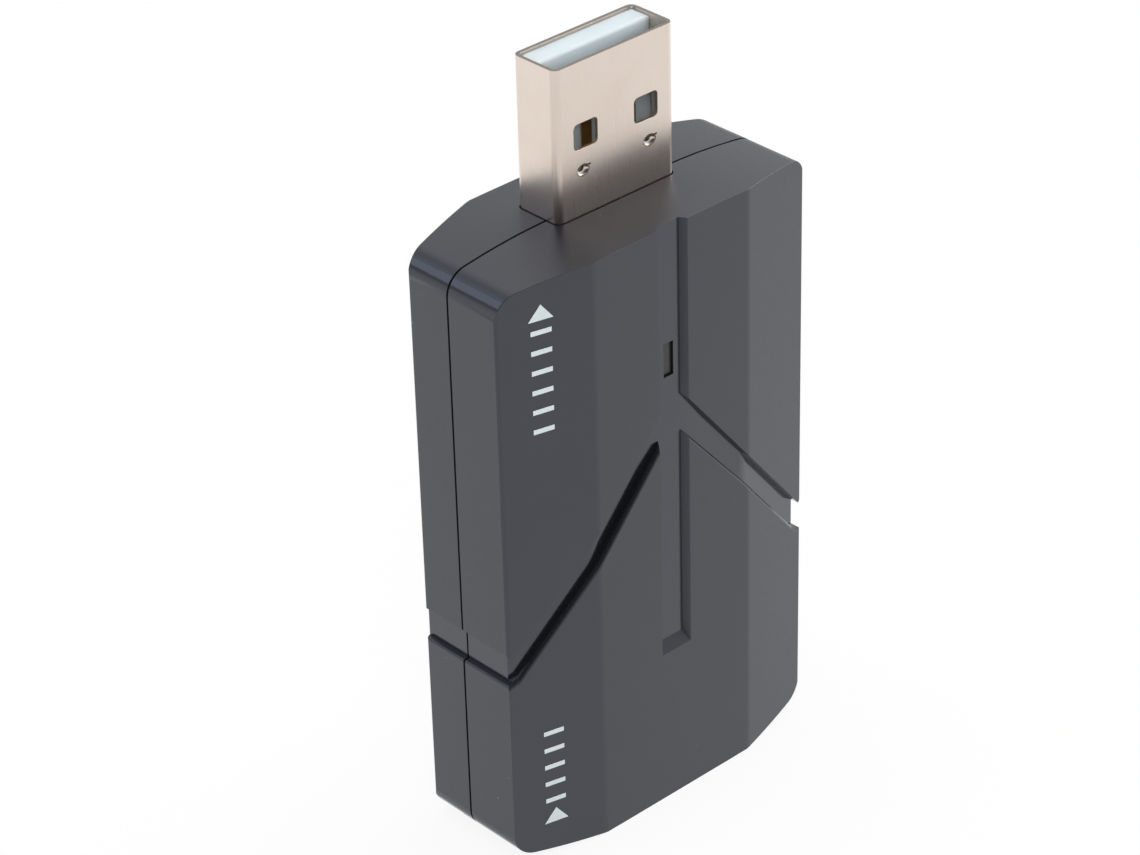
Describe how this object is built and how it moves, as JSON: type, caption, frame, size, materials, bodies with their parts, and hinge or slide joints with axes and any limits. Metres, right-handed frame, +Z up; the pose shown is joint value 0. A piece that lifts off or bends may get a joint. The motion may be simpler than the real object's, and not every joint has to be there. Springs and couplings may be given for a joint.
{
  "type": "video capture stick",
  "caption": "Pocket video capture stick: black two-shell plastic case with Y-shaped grooves, a flat data plug on top and a video socket in the lower end.",
  "frame": {"origin": "middle of the lower end, on the surface that the stick stands on", "axes": "+Z up along the case towards the plug, +X across its width, -Y out of the grooved face"},
  "size_m": [0.0318, 0.0136, 0.0641],
  "materials": {
    "case_plastic": "fine satin moulding",
    "plug_steel": "nickel plated, satin",
    "plug_plastic": "pale moulding",
    "gilt_contact": "gilt",
    "board_laminate": "solder resist",
    "socket_steel": "tin plated",
    "socket_plastic": "matt moulding",
    "chip_resin": "moulded resin",
    "crystal_can": "pressed can",
    "ferrite": "sintered",
    "lamp_resin": "clear resin",
    "guide_plastic": "smoked clear moulding",
    "ceramic": "fired ceramic",
    "bulk_resin": "moulded resin"
  },
  "bodies": {
    "root": {"front_shell": "case_plastic", "rear_shell": "case_plastic", "plug_shell": "plug_steel", "plug_insulator": "plug_plastic", "plug_contacts": "gilt_contact", "circuit_board": "board_laminate", "socket_shell": "socket_steel", "socket_insulator": "socket_plastic", "socket_contacts": "gilt_contact", "capture_chip": "chip_resin", "memory_chip": "chip_resin", "crystal": "crystal_can", "voltage_regulators": "chip_resin", "power_inductors": "ferrite", "status_lamp": "lamp_resin", "light_guide": "guide_plastic", "ceramic_capacitors": "ceramic", "chip_resistors": "chip_resin", "bulk_capacitors": "bulk_resin", "surge_protectors": "chip_resin", "ferrite_beads": "ferrite"}
  },
  "joints": []
}
